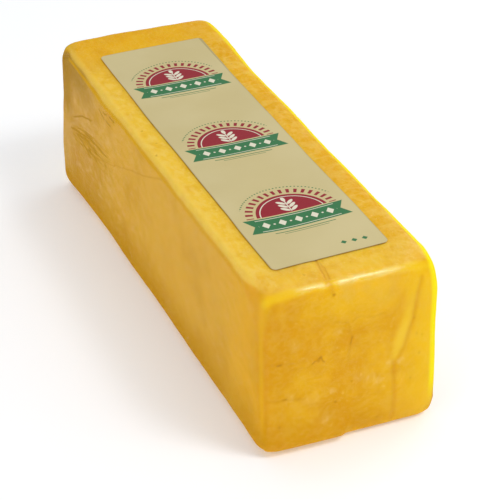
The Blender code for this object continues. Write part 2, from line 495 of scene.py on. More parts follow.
def crease_shade_share(point, outward):
    """1 in the bottom of a fold's line or a crease, for the painted shade in it."""
    if outward.y < -0.5:
        routes = (FOLD_RIGHT, LINE_ROUTE, CREASE_FRONT_ROUTE)
        nearest = min(distance_to_route(point.x, point.z, route)[0] for route in routes)
        return hump(nearest, FRONT_SHADE_WIDTH)
    if outward.z > 0.5:
        routes = (CREASE_TOP_ROUTE, CREASE_SIDE_ROUTE)
        nearest = min(distance_to_route(point.x, point.y, route)[0] for route in routes)
        return hump(nearest, TOP_SHADE_WIDTH)
    return 0.0


def ridge_highlight_share(point, outward):
    """1 along the middle of the slanting fold, where a painted highlight makes a lighter yellow band."""
    if outward.y > -0.5:
        return 0.0
    fading = ramp(point.z, *RIDGE_FADE)
    return between_folds(point) * ramp(point.z, *RIDGE_FOOT) * (1.0 - 0.85 * fading)


def relief(point, outward):
    """How far the surface stands out from the plain rounded block."""
    height = swell(point, outward) + lumps(point) + rear_bulge(point, outward)
    if outward.y < -0.3:
        height += ramp(-outward.y, 0.3, 0.9) * (front_folds(point) + foot(point))
    if outward.z > 0.3:
        height += ramp(outward.z, 0.3, 0.9) * top_creases(point)
    return height


# %% The cage, and the fine mesh made from it
def block_cage():
    cage = bmesh.new()
    bmesh.ops.create_cube(cage, size=1.0)
    bmesh.ops.scale(cage, vec=(WIDTH, LENGTH, HEIGHT), verts=cage.verts)
    cuts = [(Vector((x, 0, 0)), Vector((1, 0, 0))) for x in
            stations(WIDTH / 2, ACROSS_SPACING, FINE_STRETCHES)]
    cuts += [(Vector((0, y, 0)), Vector((0, 1, 0))) for y in stations(LENGTH / 2, ALONG_SPACING)]
    cuts += [(Vector((0, 0, z)), Vector((0, 0, 1))) for z in stations(HEIGHT / 2, ACROSS_SPACING)]
    for spot, direction in cuts:
        everything = cage.verts[:] + cage.edges[:] + cage.faces[:]
        bmesh.ops.bisect_plane(cage, geom=everything, dist=1e-6, plane_co=spot, plane_no=direction)
    sharp = [edge for edge in cage.edges if edge.calc_face_angle(0.0) > math.radians(60)]
    bmesh.ops.bevel(cage, geom=sharp, offset=EDGE_RADIUS, offset_type="OFFSET", affect="EDGES",
                    segments=EDGE_SEGMENTS, profile=0.5, material=-1, clamp_overlap=True)
    bmesh.ops.translate(cage, vec=(0, 0, HEIGHT / 2), verts=cage.verts)
    return cage


def refined(cage):
    """The cage after a Subdivision Surface, as a new bmesh."""
    mesh = bpy.data.meshes.new("cage")
    cage.to_mesh(mesh)
    cage.free()
    holder = bpy.data.objects.new("cage", mesh)
    bpy.context.scene.collection.objects.link(holder)
    smooth = holder.modifiers.new("Smooth", "SUBSURF")
    smooth.levels = SMOOTH_LEVELS
    smooth.render_levels = SMOOTH_LEVELS
    evaluated = holder.evaluated_get(bpy.context.evaluated_depsgraph_get())
    fine = bmesh.new()
    fine.from_mesh(evaluated.to_mesh())
    bpy.data.objects.remove(holder, do_unlink=True)
    fine.normal_update()
    return fine


plain = refined(block_cage())
plain_points = [(vert.co.copy(), vert.normal.copy()) for vert in plain.verts]
print("fine block has", len(plain.verts), "points and", len(plain.faces), "faces")

# %% [markdown]
# ## The cheese
#
# Inside the film is one solid piece of cheese. It could be a scaled copy of the film, but then
# the gap would differ from face to face. So its skin copies the wrapped form a quarter of a
# millimetre further in, and adds the shallow dips of the pressed curd.

# %% Shape the cheese
FILM_GAP = 0.00028
CURD_SIZE = 0.0060
CURD_HEIGHT = 0.00012


def curd(point):
    """Shallow dips of pressed curd, never above the plain surface."""
    dips = noise.noise(point / CURD_SIZE + Vector((3.1, 8.2, 5.5))) - 0.6
    return dips * CURD_HEIGHT


def wrapped_move(point, outward, extra):
    """Where a point of the plain block goes; the base stays flat."""
    move = outward * (relief(point, outward) + extra + scallops(point))
    move += corner_press(point) + rear_drift(point)
    move.z *= ramp(point.z, 0.0, SETTLE_HEIGHT)
    return move


def shaped(source, extra_height, inset):
    """A copy of the fine plain block, moved out by the relief and in by the inset."""
    shape = source.copy()
    for vert, (point, outward) in zip(shape.verts, plain_points):
        move = wrapped_move(point, outward, extra_height(point, outward))
        vert.co = point + crisp_edges(point) + move - outward * inset
    return shape


def add_marks(shape, marks):
    """Store a share from 0 to 1 at every point for each mark, for the colours to read."""
    for name, share_at in marks.items():
        layer = shape.verts.layers.float.new(name)
        for vert, (point, outward) in zip(shape.verts, plain_points):
            vert[layer] = share_at(point, outward)


def finish_piece(shape, name, material, body="root"):
    mesh = bpy.data.meshes.new(name)
    shape.to_mesh(mesh)
    shape.free()
    mesh.shade_smooth()
    mesh.materials.append(material)
    piece = bpy.data.objects.new(name, mesh)
    bpy.context.scene.collection.objects.link(piece)
    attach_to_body(piece, body)
    return piece


cheese_shape = shaped(plain, lambda point, outward: curd(point), FILM_GAP)
add_marks(cheese_shape, {"rounding": lambda point, outward: rounding(point),
                         "crease": crease_shade_share, "ridge": ridge_highlight_share})
xs = [vert.co.x for vert in cheese_shape.verts]
ys = [vert.co.y for vert in cheese_shape.verts]
centring = Vector((block_high.x - FILM_GAP - max(xs), -(min(ys) + max(ys)) / 2, 0.0))
bmesh.ops.translate(cheese_shape, vec=centring, verts=cheese_shape.verts)
print("cheese moved into the block's box by mm:", [round(value * 1000, 2) for value in centring])
print("triangles in the cheese:", sum(len(face.verts) - 2 for face in cheese_shape.faces))

# %% [markdown]
# ## The finish of the cheese
#
# Coloured cheddar is never one flat orange. The curd shows as soft patches a few millimetres
# across, with paler threads and small light specks. A photograph could be wrapped round the
# block, but noise of a few sizes has no seams and stays sharp from near. Light also travels a
# little way through the cheese, so the shader has some subsurface scattering.


# %% Where each face begins, in millimetres from the middle or the base
SIDE_EDGE = (40.5, 43.5)
TOP_EDGE = (84.5, 87.0)
END_EDGE = (141.5, 144.5)


def attribute(wire, name):
    """A value that the mesh holds at each of its points."""
    return wire.node("ShaderNodeAttribute", {"attribute_name": name}, output="Fac")


# %% The patchy colour of the curd
cheese_finish, cheese_shader, mm, (x, y, z) = start_finish(
    "cheddar", Roughness=0.50, Specular_IOR_Level=0.0, Coat_Roughness=0.12,
    Subsurface_Weight=0.40, Subsurface_Radius=(1.0, 0.55, 0.08), Subsurface_Scale=0.006)
on_side = x.size().ramp(*SIDE_EDGE)
on_top = z.ramp(*TOP_EDGE)
on_end = y.size().ramp(*END_EDGE)
rounded = attribute(mm, "rounding")

deep = (0.76, 0.365, 0.006, 1.0)
golden = (0.86, 0.480, 0.014, 1.0)
pale = (0.93, 0.64, 0.14, 1.0)
orange = (0.79, 0.375, 0.008, 1.0)
yellow = (0.93, 0.63, 0.10, 1.0)
bright_yellow = (0.93, 0.56, 0.010, 1.0)
dark = (0.42, 0.15, 0.002, 1.0)

broad = grain(mm, 26.0, detail=3.0)
patches = grain(mm, 9.0, detail=4.0, roughness=0.6, offset=(3.0, 1.0, 2.0))
fine = grain(mm, 1.7, detail=3.0, roughness=0.7, offset=(2.0, 6.0, 4.0))
threads = grain(mm, 5.0, detail=5.0, roughness=0.65, stretch=(1.0, 2.2, 0.8), offset=(0.0, 7.0, 1.0))
threads = (threads - 0.5).size().ramp(0.05, 0.0)
specks = grain(mm, 1.5, detail=1.0, offset=(5.0, 5.0, 9.0)).ramp(0.69, 0.78)
tone = broad * 0.45 + patches * 0.45 - 0.45 + (fine - 0.5) * 0.16
colour = tone.ramp(-0.13, 0.13).blend(deep, golden)

# %% [markdown]
# ## The long sides
#
# The long sides look tan, partly because the film lies on them a little slack and hazy and partly
# because a painted haze of reflected light is in their colour. Painted shade deepens them towards
# the back and the foot. Each side could have a material of its own, but the borders would then
# show as seams, so one material blends its colours by place.

# %% The sides are tan, with painted shade at the back and at the foot
side_tan = (0.79, 0.418, 0.064, 1.0)
side_front = (0.87, 0.418, 0.026, 1.0)
side_back_shade_and_haze = (0.63, 0.340, 0.105, 1.0)
painted_foot_shade = (0.53, 0.236, 0.004, 1.0)
pale_streak = (0.86, 0.54, 0.20, 1.0)
deep_streak = (0.64, 0.330, 0.014, 1.0)
painted_corner_shade = (0.40, 0.205, 0.020, 1.0)
painted_strip_shade = (0.43, 0.210, 0.012, 1.0)
strip_light = (0.72, 0.41, 0.10, 1.0)
dark_fleck = (0.56, 0.29, 0.02, 1.0)
light_fleck = (0.86, 0.55, 0.14, 1.0)
turned_y = y * x.math("SIGN") * -1.0
side_colour = turned_y.ramp(-85.0, -140.0).blend(side_tan, side_front)
# Painted shade and haze towards the back of the sides
side_colour = (turned_y.ramp(30.0, 135.0) * 0.9).blend(side_colour, side_back_shade_and_haze)
# Painted shade low down, near the foot
side_colour = (z.ramp(40.0, 4.0) * turned_y.ramp(-120.0, -50.0, 0.7, 0.95)).blend(side_colour, painted_foot_shade)
colour = (on_side * 0.8).blend(colour, side_colour)
# Random patches in the same dark tan as the painted shade at the foot
colour = (on_side * broad.ramp(0.55, 0.30) * 0.22).blend(colour, painted_foot_shade)
side_grain = grain(mm, 4.0, detail=4.0, roughness=0.6, stretch=(1.0, 1.8, 1.0), offset=(1.0, 4.0, 6.0))
to_back = on_side * turned_y.ramp(-10.0, 90.0, 0.30, 1.0)
colour = (side_grain.ramp(0.50, 0.66) * to_back * z.ramp(8.0, 30.0) * 0.34).blend(colour, pale_streak)
colour = (side_grain.ramp(0.50, 0.36) * to_back * 0.40).blend(colour, deep_streak)
on_left = x.ramp(-40.5, -43.5)
# Painted shade in the upper rear corner of the left side and in the upper back strip; the strip is paler
# lower down
rear_corner_shade = on_left * turned_y.ramp(66.0, 112.0) * z.ramp(60.0, 80.0)
colour = (rear_corner_shade * 0.75).blend(colour, painted_corner_shade)
back_strip = on_left * turned_y.ramp(116.0, 132.0)
colour = (back_strip * z.ramp(46.0, 60.0) * 0.8).blend(colour, painted_strip_shade)
colour = (back_strip * z.ramp(52.0, 42.0) * z.ramp(12.0, 22.0) * 0.6).blend(colour, strip_light)
colour = (on_side * fine.ramp(0.50, 0.72) * 0.20).blend(colour, dark_fleck)
colour = (on_side * fine.ramp(0.46, 0.30) * 0.14).blend(colour, light_fleck)

# %% [markdown]
# ## The ends and the top
#
# The end that shows has painted shade at its left and its foot, and is painted yellow at its right,
# where light shines through. The top is orange beside the label and mottled pale yellow near the edges.
# Smooth ramps of the place, with noise on them, give borders as soft as the real ones.

# %% Painted shade at the ends' left and foot, painted light at their right, yellow near the top
end_shade = (0.70, 0.325, 0.004, 1.0)
end_foot_shade = (0.66, 0.305, 0.002, 1.0)
turned_x = x * y.math("SIGN") * -1.0
# Painted shade at the left of the ends
colour = (on_end * turned_x.ramp(-20.0, -40.0) * 0.48).blend(colour, end_shade)
# Painted light: the right of the ends glows yellow where light shines through
colour = (on_end * turned_x.ramp(18.0, 38.0) * 0.75).blend(colour, bright_yellow)
colour = (on_end * z.ramp(60.0, 80.0) * turned_x.ramp(-32.0, -4.0) * 0.45).blend(colour, bright_yellow)
# Painted shade low down at the ends' foot
end_foot = on_end * z.ramp(32.0, 6.0) * turned_x.ramp(34.0, 0.0, 0.1, 0.65)
colour = end_foot.blend(colour, end_foot_shade)

# %% The top is yellow near the edges and orange beside the label
pale_mottle = (0.94, 0.67, 0.17, 1.0)
warm_yellow = (0.89, 0.55, 0.045, 1.0)
edge_mottle = (0.94, 0.69, 0.19, 1.0)
veins = grain(mm, 13.0, detail=3.0, stretch=(1.3, 0.8, 1.0), offset=(4.0, 2.0, 0.0))
veins = (veins - 0.5).size() * grain(mm, 20.0, offset=(6.0, 2.0, 8.0)).ramp(0.3, 0.7, 2.5, 0.8)
mottles = grain(mm, 4.2, detail=4.0, roughness=0.55, stretch=(0.7, 1.3, 1.0), offset=(7.0, 1.0, 5.0))
mottles = mottles.ramp(0.40, 0.66)
right_top = on_top * x.ramp(22.0, 30.0)
colour = (right_top * (0.25 + patches.ramp(0.45, 0.6) * 0.5)).blend(colour, orange)
colour = (right_top * veins.ramp(0.12, 0.0) * 0.24).blend(colour, pale_mottle)
colour = (right_top * mottles * 0.16).blend(colour, pale_mottle)
near_left = on_top * x.ramp(-28.0, -36.0) * y.ramp(125.0, 60.0, 0.35, 1.0)
near_front = on_top * y.ramp(-118.0, -128.0) * 0.6
near_edge = near_left.most(near_front)
colour = (near_edge * patches.ramp(0.35, 0.55, 0.5, 0.9)).blend(colour, warm_yellow)
colour = (near_edge * mottles * 0.32).blend(colour, edge_mottle)
colour = (on_top * y.ramp(95.0, 128.0) * 0.45).blend(colour, orange)
colour = (threads * (0.14 - on_side * 0.08)).blend(colour, pale)
colour = (specks * 0.40).blend(colour, pale)

# %% [markdown]
# ## The rounded edges
#
# Light passes through the rounded edges, so they look brighter and yellower than the faces, and
# that glow is painted into the colour. A painted highlight draws the streak of shine along the
# front edge, and painted shade darkens the edges at the left and the back. A curvature map could
# find them, but the mesh already holds how rounded it is at each point.

# %% The rounded edges, with painted glow, highlight and shade
edge_glow_yellow = (0.93, 0.58, 0.015, 1.0)
front_yellow = (0.95, 0.64, 0.015, 1.0)
painted_streak_highlight = (0.98, 0.80, 0.32, 1.0)
painted_edge_shade = (0.79, 0.42, 0.002, 1.0)
painted_back_edge_shade = (0.56, 0.32, 0.020, 1.0)
rim_yellow = (0.98, 0.78, 0.010, 1.0)
# Painted light: the crown of the top's left edge glows yellow
left_crown_glow = z.ramp(84.8, 86.4) * x.ramp(-38.5, -41.5)
# Painted shade: a darker gold line where the top's left edge turns down into the side
left_edge_shade = x.ramp(-42.8, -43.8) * z.ramp(82.8, 84.4) * z.ramp(86.2, 85.0) * y.ramp(-130.0, 20.0, 0.3, 0.8)
# Painted light: the front's upper edge glows yellow
front_rim = y.ramp(-139.0, -142.0) * z.ramp(79.0, 82.0) * rounded.ramp(0.1, 0.7)
# Painted light: the right rim, lit from behind, glows yellow
right_rim = rounded.ramp(0.0, 0.24) * x.ramp(37.0, 40.0) * z.ramp(8.0, 26.0)
right_rim = right_rim * x.ramp(45.6, 43.4, 0.35, 1.0) * y.ramp(-20.0, 90.0, 1.0, 0.7)
right_rim = right_rim * y.ramp(141.0, 135.0)
# Painted light glowing through the upright edges of the ends
edge_glow_mask = rounded.ramp(0.05, 0.90) * on_end.most(y.size().ramp(136.0, 140.0)) * z.ramp(4.0, 30.0)
colour = (edge_glow_mask * 0.35).blend(colour, edge_glow_yellow)
colour = (left_crown_glow * 0.6).blend(colour, yellow)
colour = (front_rim * 0.55).blend(colour, front_yellow)
feather = grain(mm, 2.4, detail=3.0, stretch=(2.6, 0.8, 0.8), offset=(3.0, 3.0, 3.0)).ramp(0.38, 0.62)
# A painted highlight: the pale, feathered streak of shine along the front's upper edge
crown_highlight = front_rim * feather * x.ramp(-30.0, -24.0) * x.ramp(40.0, 8.0)
colour = (crown_highlight * 0.50).blend(colour, painted_streak_highlight)
colour = left_edge_shade.blend(colour, painted_edge_shade)
# Painted shade along the back's upper edge
back_edge_shade_mask = y.ramp(138.0, 142.0) * z.ramp(78.0, 82.0) * rounded.ramp(0.05, 0.5)
colour = (back_edge_shade_mask * 0.8).blend(colour, painted_back_edge_shade)
colour = right_rim.blend(colour, rim_yellow)


# %% [markdown]
# ## Marks drawn on the faces
#
# The cut end has short cracks and pits, two creases run over the front edge, and a long one runs
# along the left side, with a fan of fine wrinkles near its back. The hidden faces get the same
# marks, turned round. As geometry they would need a far denser mesh, so they are colour and a
# slight bump. Each is a distance to a short line, and noise on the place makes it look torn.


# %% Helpers for marks on a face
def near_segment(first, second, start, end, soft):
    """1 on a short straight mark on a face, fading to 0 at soft millimetres from it."""
    run = (end[0] - start[0], end[1] - start[1])
    length_squared = run[0] ** 2 + run[1] ** 2
    share = ((first - start[0]) * run[0] + (second - start[1]) * run[1]) / length_squared
    share = share.most(0.0).least(1.0)
    off_first = first - start[0] - share * run[0]
    off_second = second - start[1] - share * run[1]
    far = (off_first * off_first + off_second * off_second).math("SQRT")
    return far.ramp(soft, 0.0)


def near_spot(first, second, place, radius):
    """1 in the middle of a round spot on a face, fading to 0 at its rim."""
    off_first = first - place[0]
    off_second = second - place[1]
    share = (off_first * off_first + off_second * off_second) / radius ** 2
    return share.ramp(1.0, 0.0)


def strongest(masks):
    result = masks[0]
    for mask in masks[1:]:
        result = result.most(mask)
    return result


def near_routes(first, second, routes, soft):
    """1 on thin marks that each follow a route of a few points on a face."""
    return strongest([near_segment(first, second, start, end, soft)
                      for route in routes for start, end in zip(route, route[1:])])


def near_spots(first, second, places, radius):
    return strongest([near_spot(first, second, place, radius) for place in places])


def wandering(wire, offset, amount=3.2):
    """A coordinate that strays a little, so that a drawn mark looks torn."""
    return wire + (grain(mm, 2.8, detail=3.0, offset=offset) - 0.5) * amount


# %% Where the marks are on each face, in millimetres
FRONT_CRACKS = [[(-20.6, 47.8), (-18.0, 49.3), (-16.6, 50.3), (-14.5, 47.3)],
                [(-1.2, 57.2), (-2.1, 54.2)], [(-37.4, 51.3), (-35.4, 51.0)],
                [(-34.8, 32.6), (-32.6, 32.0)]]
FRONT_SEAMS = [[(-9.4, 66.9), (-3.4, 65.4)], [(-0.5, 65.5), (3.1, 67.3), (8.9, 65.4), (15.5, 66.4)],
               [(-41.0, 52.6), (-30.0, 50.6)], [(-41.5, 33.0), (-24.0, 30.0)],
               [(-2.7, 64.5), (-1.7, 58.0)], [(-2.1, 54.2), (-2.9, 45.0)],
               [(-21.0, 46.4), (-31.0, 47.4)]]
FRONT_PITS = [(-10.0, 81.4), (29.6, 59.1), (32.4, 40.0), (28.5, 27.3), (33.7, 49.1), (-9.0, 24.4),
              (-1.3, 33.7), (12.5, 9.0), (-36.5, 17.5), (-39.1, 84.7), (31.2, 51.0), (-17.0, 48.4)]
FRONT_BLOTS = [(-20.2, 28.4, 3.0), (-10.3, 30.7, 1.5), (-31.5, 32.1, 1.9),
               (-29.4, 59.6, 2.4), (8.3, 32.8, 2.2), (12.5, 30.3, 1.9), (2.8, 34.8, 2.2),
               (23.6, 38.2, 1.8), (17.3, 38.4, 2.0), (-8.2, 61.9, 1.7), (-13.6, 16.6, 2.4)]
TOP_CREASES = [[(-9.6, -126.0), (-10.7, -132.1), (-11.7, -139.7)],
               [(-9.3, -128.0), (-9.0, -134.0), (-10.6, -141.5)]]
TOP_PITS = [(-40.6, -3.6), (-36.0, 8.5), (-32.6, 69.5), (32.4, 15.0), (31.6, 78.0), (-38.0, 23.8),
            (-20.0, -135.0)]
SIDE_CREASE = [(85.0, 44.5), (54.6, 54.9), (29.7, 64.3), (6.1, 72.5), (-20.3, 83.6)]
SIDE_PITS = [(23.4, 76.8), (41.6, 67.4), (78.0, 46.5), (70.0, 49.5)]
SIDE_STROKES = [[(124.0, 44.5), (108.0, 48.0), (87.0, 53.0), (64.0, 55.0)],
                [(114.5, 45.0), (105.5, 44.0), (94.0, 41.0)], [(104.0, 48.5), (79.0, 48.5)],
                [(119.0, 53.0), (106.0, 59.5), (88.0, 65.0)], [(72.0, 79.0), (64.0, 77.0)],
                [(65.0, 80.5), (60.0, 81.0)], [(61.0, 77.5), (55.0, 77.0)],
                [(56.0, 82.0), (49.0, 82.0)]]
STROKE_SOFTNESS = 0.9
FAN_START = (128.0, 43.0)
FAN_SLOPE = 0.13
CRACK_SOFTNESS = 0.6
SEAM_SOFTNESS = 1.0
CREASE_SOFTNESS = 0.7
PIT_RADIUS = 0.8
SIDE_PIT_RADIUS = 1.3 * PIT_RADIUS
BLOT_SPREAD = 1.6
ACROSS_DRIFT = (8.0, 3.0, 1.0)
ALONG_DRIFT = (2.0, 5.0, 3.0)
UPWARD_DRIFT = (1.0, 9.0, 6.0)

# %% The fold, soft spots, cracks and pits
painted_ridge_highlight = (0.96, 0.69, 0.05, 1.0)
painted_crease_shade = (0.70, 0.30, 0.010, 1.0)
blot_yellow = (0.95, 0.68, 0.20, 1.0)
seam_brown = (0.58, 0.24, 0.004, 1.0)
across = wandering(turned_x, ACROSS_DRIFT)
along = wandering(turned_y, ALONG_DRIFT)
upward = wandering(z, UPWARD_DRIFT)
# A painted highlight along the fold's ridge
colour = (attribute(mm, "ridge") * 0.50).blend(colour, painted_ridge_highlight)
# Painted shade in the bottom of the fold's lines and the creases
colour = (attribute(mm, "crease") * 0.38).blend(colour, painted_crease_shade)
blots = strongest([near_spot(across, upward, (at_x, at_z), radius * BLOT_SPREAD)
                   for at_x, at_z, radius in FRONT_BLOTS])
blots = blots * mottles.ramp(0.0, 1.0, 0.25, 1.0)
colour = (on_end * blots * 0.30).blend(colour, blot_yellow)
seams = near_routes(across, upward, FRONT_SEAMS, SEAM_SOFTNESS)
side_crease = near_routes(along, upward, [SIDE_CREASE], CREASE_SOFTNESS)
over_top = wandering(x, ACROSS_DRIFT, 1.6)
top_crease = near_routes(over_top, y, TOP_CREASES, CREASE_SOFTNESS)
drawn = (on_end * seams * 0.22).most(on_side * side_crease * 0.45).most(on_top * top_crease * 0.32)
colour = drawn.blend(colour, seam_brown)
cracks = near_routes(across, upward, FRONT_CRACKS, CRACK_SOFTNESS)
pits = near_spots(across, upward, FRONT_PITS, PIT_RADIUS)
top_pits = near_spots(wandering(x, ACROSS_DRIFT), wandering(y, ALONG_DRIFT), TOP_PITS, PIT_RADIUS)
side_pits = near_spots(along, upward, SIDE_PITS, SIDE_PIT_RADIUS)
cuts = (on_end * cracks.most(pits * 0.7)).most(on_top * top_pits * 0.6).most(on_side * side_pits * 0.6)
colour = (cuts * 0.62).blend(colour, dark)

# %% The fan of fine wrinkles near the back of the left side
fan_gold = (0.67, 0.36, 0.008, 1.0)
wrinkle_brown = (0.48, 0.225, 0.002, 1.0)
fan_along = wandering(turned_y, ALONG_DRIFT, 1.4)
fan_upward = wandering(z, UPWARD_DRIFT, 1.4)
from_hub = FAN_START[0] - fan_along
above_line = fan_upward - FAN_START[1] - from_hub * FAN_SLOPE
spread = above_line / from_hub.ramp(0.0, 32.0, 0.4, 1.0)
fan_place = mm.node("ShaderNodeCombineXYZ", None, {0: spread * 0.45, 1: from_hub * 0.03, 2: 0.0})
fan_grain = fan_place.node("ShaderNodeTexNoise", {"normalize": True},
                           {"Vector": fan_place, "Scale": 1.0, "Detail": 1.0, "Roughness": 0.5})
fan_area = spread.size().ramp(9.5, 5.0) * from_hub.ramp(2.0, 14.0) * from_hub.ramp(72.0, 50.0)
fan_lines = (fan_grain - 0.5).size().ramp(0.07, 0.0) * fan_area
loose = near_routes(fan_along, fan_upward, SIDE_STROKES, STROKE_SOFTNESS)
strokes = fan_lines.most(loose) * on_side
colour = (fan_area * on_side * 0.32).blend(colour, fan_gold)
colour = (strokes * 0.84).blend(colour, wrinkle_brown)

# %% Finish the cheese
attach(0.14 * (1.0 - (on_side * 0.9).most(right_rim)), cheese_shader, "Coat Weight")
attach(colour, cheese_shader, "Base Color")
skin = bump(patches + fine * 0.2 + cuts * -1.5 + strokes * -0.4, 0.25, 0.0004)
attach(skin, cheese_shader, "Normal")
print("cheese finish uses", len(cheese_finish.node_tree.nodes), "nodes")

cheese = finish_piece(cheese_shape, "cheese", cheese_finish)

# %% [markdown]
# ## The film
#
# The bag is clear plastic about a tenth of a millimetre thick. It touches the cheese nearly
# everywhere, so what tells of it is its shine and its wrinkles. A gloss coat on the cheese alone
# would give the shine, but no layer that stands off it. So the film is a skin of its own round
# the cheese, mostly see-through, with a fine relief of stretch marks and puckers.

# %% Shape the film
STRETCH_HEIGHT = 0.00010
STRETCH_PITCH = (200, 60, 35)
PUCKER_HEIGHT = 0.00018
PUCKER_PITCH = (90, 130, 110)
PUCKER_OFFSET = Vector((2.0, 3.0, 4.0))


def film_detail(point, outward):
    """Stretch marks on the faces, and puckers round the edges."""
    stretch = noise.noise(point * Vector(STRETCH_PITCH)) + 0.5
    edge = ramp(1.0 - max(abs(outward.x), abs(outward.y), abs(outward.z)), 0.02, 0.25)
    pucker = noise.noise(point * Vector(PUCKER_PITCH) + PUCKER_OFFSET)
    return STRETCH_HEIGHT * stretch * (1.0 - 0.9 * edge) + PUCKER_HEIGHT * (pucker + 0.6) * edge


film_shape = shaped(plain, film_detail, 0.0)
add_marks(film_shape, {"rounding": lambda point, outward: rounding(point)})
bmesh.ops.translate(film_shape, vec=centring, verts=film_shape.verts)
plain.free()

# %% Film finish
film_finish, film_shader, mm, (x, y, z) = start_finish("clear_film", Roughness=0.22, IOR=2.0)
film_shader.inputs["Base Color"].default_value = (1.0, 0.90, 0.48, 1.0)
film_shader.inputs["Specular Tint"].default_value = (1.0, 0.90, 0.62, 1.0)
on_side = x.size().ramp(*SIDE_EDGE)
on_top = z.ramp(*TOP_EDGE)
rounded = attribute(mm, "rounding")
wrinkles = grain(mm, 7.0, detail=3.0, stretch=(1.0, 1.6, 1.0), offset=(1.0, 2.0, 3.0))
cloud = grain(mm, 14.0, detail=4.0, roughness=0.6, offset=(9.0, 4.0, 1.0))
haze_and_painted_shine = 0.006 + cloud.ramp(0.4, 0.7) * 0.012
haze_and_painted_shine = haze_and_painted_shine + on_side * z.ramp(20.0, 80.0) * (0.004 + cloud * 0.020)
haze_and_painted_shine = haze_and_painted_shine + on_top * (0.006 + y.ramp(-110.0, -135.0) * cloud * 0.04)

feather = grain(mm, 2.6, detail=2.0, stretch=(2.6, 0.8, 0.8), offset=(6.0, 3.0, 3.0)).ramp(0.36, 0.66)
front_crown = y.ramp(-138.0, -141.0) * z.ramp(78.0, 83.0)
left_streak = rounded.ramp(0.40, 0.95) * x.ramp(-29.0, -25.0) * x.ramp(-12.0, -15.5)
right_streak = rounded.ramp(0.05, 0.75) * x.ramp(-9.5, -6.0) * x.ramp(30.0, 0.0)
# Along the front's upper edge the film is less clear: the lamp's real shine on it, with a painted
# highlight in its pale colour
haze_and_painted_shine = haze_and_painted_shine + front_crown * (0.2 + feather) * left_streak.most(right_streak) * 0.15
# A painted highlight below that edge as well
below_crown = y.ramp(-141.5, -144.5) * z.ramp(66.0, 82.0) * x.ramp(-14.0, -4.0) * x.ramp(34.0, 12.0)
haze_and_painted_shine = haze_and_painted_shine + below_crown * cloud.ramp(0.3, 0.7) * 0.06
# Painted glints: small pale flecks low on the sides
painted_glint_flecks = grain(mm, 1.6, detail=0.0, offset=(4.0, 8.0, 8.0)).ramp(0.74, 0.80)
haze_and_painted_shine = haze_and_painted_shine + painted_glint_flecks * cloud.ramp(0.50, 0.62) * on_side * z.ramp(40.0, 10.0) * 0.25
attach(haze_and_painted_shine.least(0.6), film_shader, "Alpha")
attach(bump(wrinkles, 0.20, 0.0006), film_shader, "Normal")
print("film finish uses", len(film_finish.node_tree.nodes), "nodes")
film = finish_piece(film_shape, "film", film_finish)
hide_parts("cheddar_block")

# %% [markdown]
# ## The label
#
# The label is a thin printed sheet with rounded corners, stuck along the top. Its front end is
# cut a little out of square. A flat plate would hover over the hollows of the film, so a grid
# is used, and each of its points is laid on the uneven top. It gets its thickness last.

# %% Shape the label
LABEL_LENGTH = 0.2390
LABEL_WIDTH = 0.0580
LABEL_X = -0.0015
LABEL_Y = -0.0055
LABEL_LIFT = 0.00006
LABEL_THICKNESS = 0.00014
LABEL_CORNER_RADIUS = 0.004
LABEL_SPACING = 0.0030
LABEL_SKEW = 0.0024
TOP_OF_STRETCH = 1.5

label_shape = bmesh.new()
bmesh.ops.create_grid(label_shape, x_segments=math.ceil(LABEL_WIDTH / LABEL_SPACING),
                      y_segments=math.ceil(LABEL_LENGTH / LABEL_SPACING), size=0.5)
bmesh.ops.scale(label_shape, vec=(LABEL_WIDTH, LABEL_LENGTH, 1.0), verts=label_shape.verts)
corners = [vert for vert in label_shape.verts if len(vert.link_edges) == 2]
bmesh.ops.bevel(label_shape, geom=corners, offset=LABEL_CORNER_RADIUS, offset_type="OFFSET",
                affect="VERTICES", segments=5, profile=0.5, material=-1)
for vert in label_shape.verts:
    to_left = 0.5 - vert.co.x / LABEL_WIDTH
    vert.co.y -= LABEL_SKEW * to_left * ramp(vert.co.y, 0.0, -LABEL_LENGTH / 2)
bmesh.ops.translate(label_shape, vec=(LABEL_X, LABEL_Y, HEIGHT), verts=label_shape.verts)
upright = Vector((0, 0, 1))
for vert in label_shape.verts:
    top = relief(vert.co.copy(), upright) + TOP_OF_STRETCH * STRETCH_HEIGHT + LABEL_LIFT
    vert.co += upright * top + rear_drift(vert.co)
bmesh.ops.translate(label_shape, vec=centring, verts=label_shape.verts)
print("label grid has", len(label_shape.verts), "points")

# %% [markdown]
# ## The print
#
# The print here is a plain design of its own: three times a dark red sun that rises over a
# green band. A print is mostly drawn flat and wrapped as a picture, but plain shapes need no
# picture file. Each shape below is a distance in millimetres, below zero inside the shape, and a
# mask turns it into ink, so every edge stays crisp from near and far. One motif is described,
# and wrapping the place along the label repeats it three times.

# %% Ink shapes from distances
INK_SOFTNESS = 0.10
MOTIF_PITCH = 75.0
MOTIF_START = -1.5


def inked(distance):
    """1 inside a shape and 0 outside, with a thin soft edge."""
    return distance.ramp(INK_SOFTNESS, -INK_SOFTNESS)


def radius_from(u, v, centre_v):
    return (u * u + (v - centre_v) * (v - centre_v)).math("SQRT")


def leaf(u, v, centre, half_length, half_width, lean):
    """Signed distance to an oval leaf that leans by an angle."""
    along_leaf = (u - centre[0]) * math.cos(lean) + (v - centre[1]) * math.sin(lean)
    across_leaf = (v - centre[1]) * math.cos(lean) - (u - centre[0]) * math.sin(lean)
    long_part = along_leaf / half_length
    wide_part = across_leaf / half_width
    return ((long_part * long_part + wide_part * wide_part).math("SQRT") - 1.0) * half_width


def band_height(u, v, middle, sag):
    """Height above the middle line of a gently curved band."""
    return v - middle - (u * u) * sag


